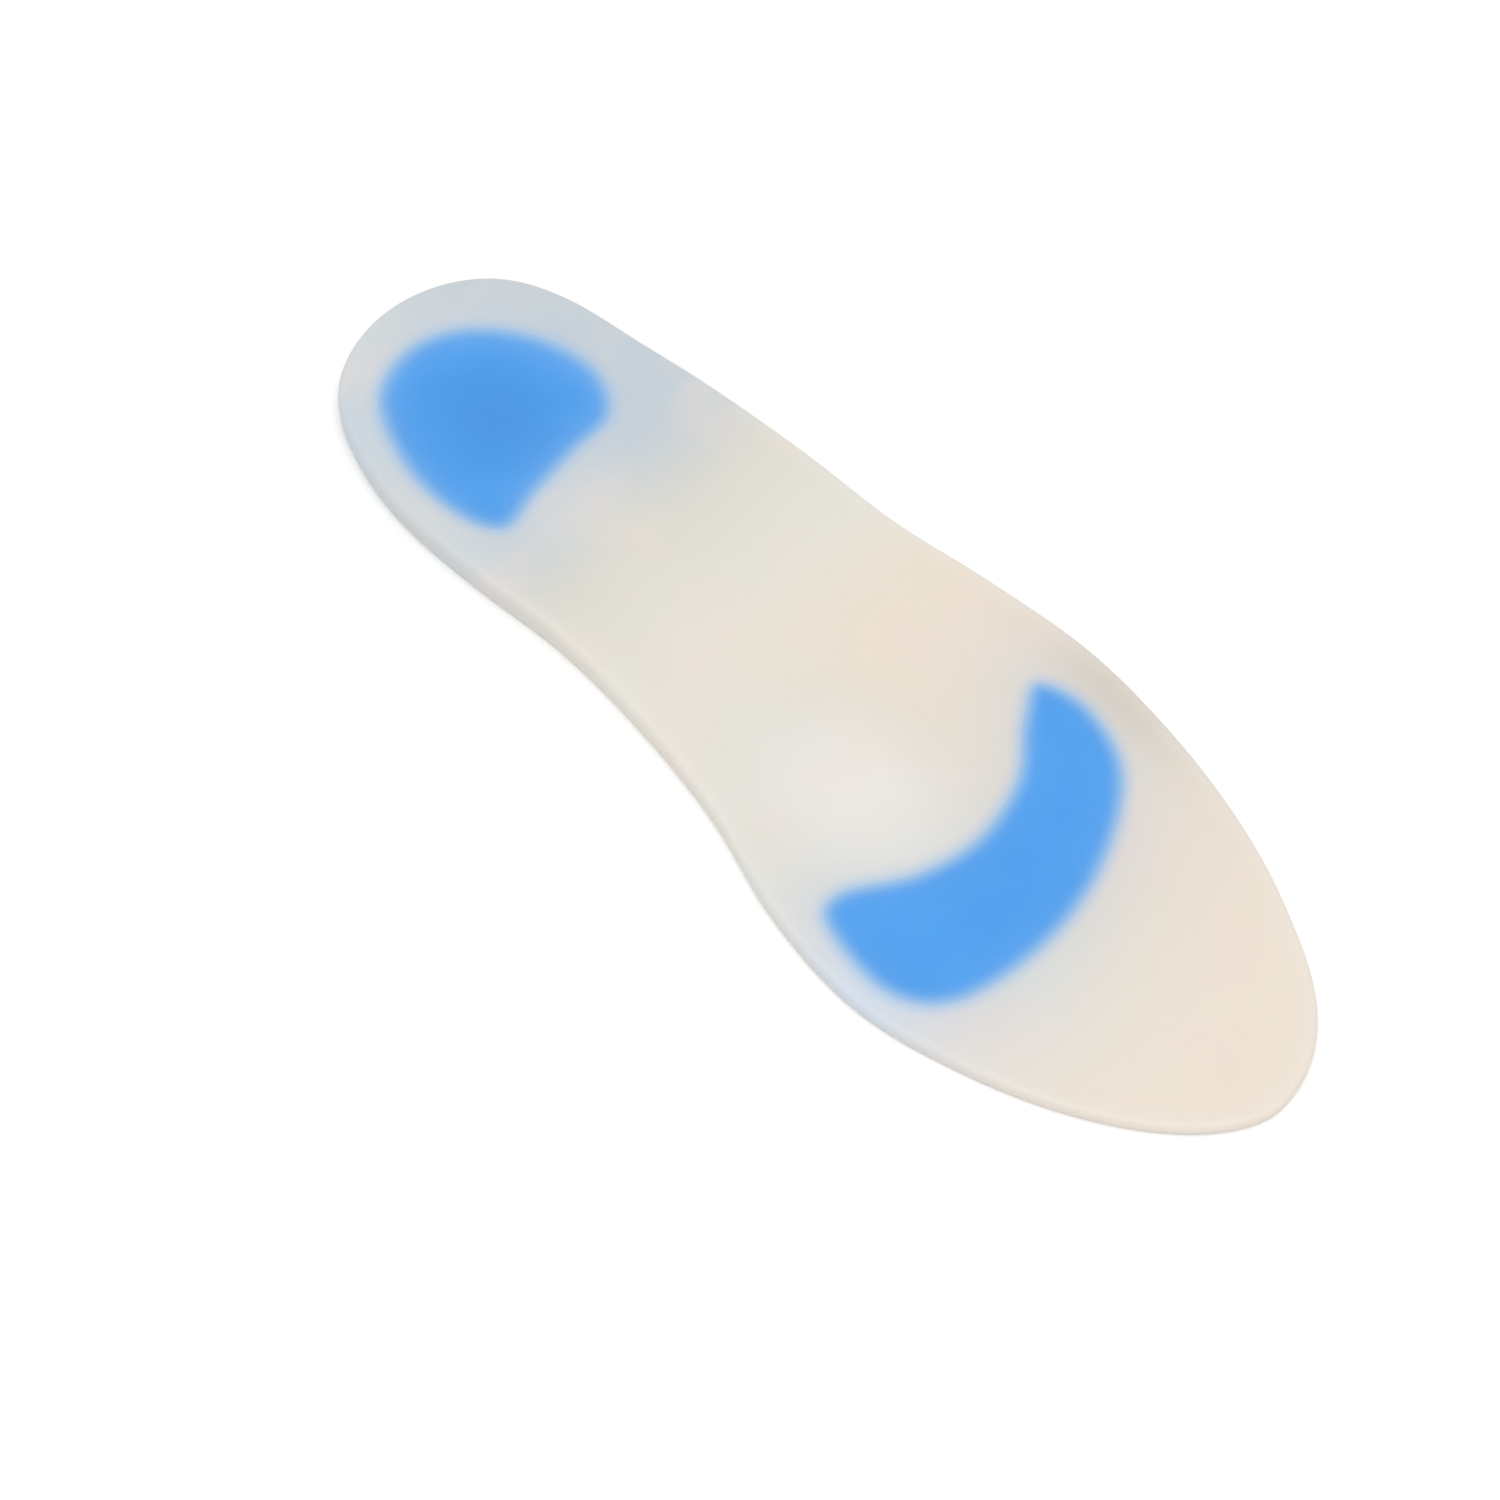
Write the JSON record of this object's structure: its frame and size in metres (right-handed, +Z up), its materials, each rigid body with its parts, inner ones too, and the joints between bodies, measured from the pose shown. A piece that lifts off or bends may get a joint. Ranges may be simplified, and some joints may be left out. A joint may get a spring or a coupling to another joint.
{
  "type": "silicone insole",
  "caption": "Full-length moulded silicone insole for a left foot with a shallow heel cup, a metatarsal dome and soft blue heel and forefoot inserts.",
  "frame": {"origin": "middle of the outline's box, on the flat underside", "axes": "+Y along the length from heel to toe, +Z up through the thickness from the underside to the foot side, +X across towards the arch (medial) side"},
  "size_m": [0.088, 0.25, 0.0065],
  "materials": {
    "milky_silicone": "satin, milky and slightly translucent",
    "blue_silicone": "satin, soft blue"
  },
  "bodies": {
    "root": {"insole_body": "milky_silicone", "heel_insert": "blue_silicone", "metatarsal_insert": "blue_silicone"}
  },
  "joints": []
}
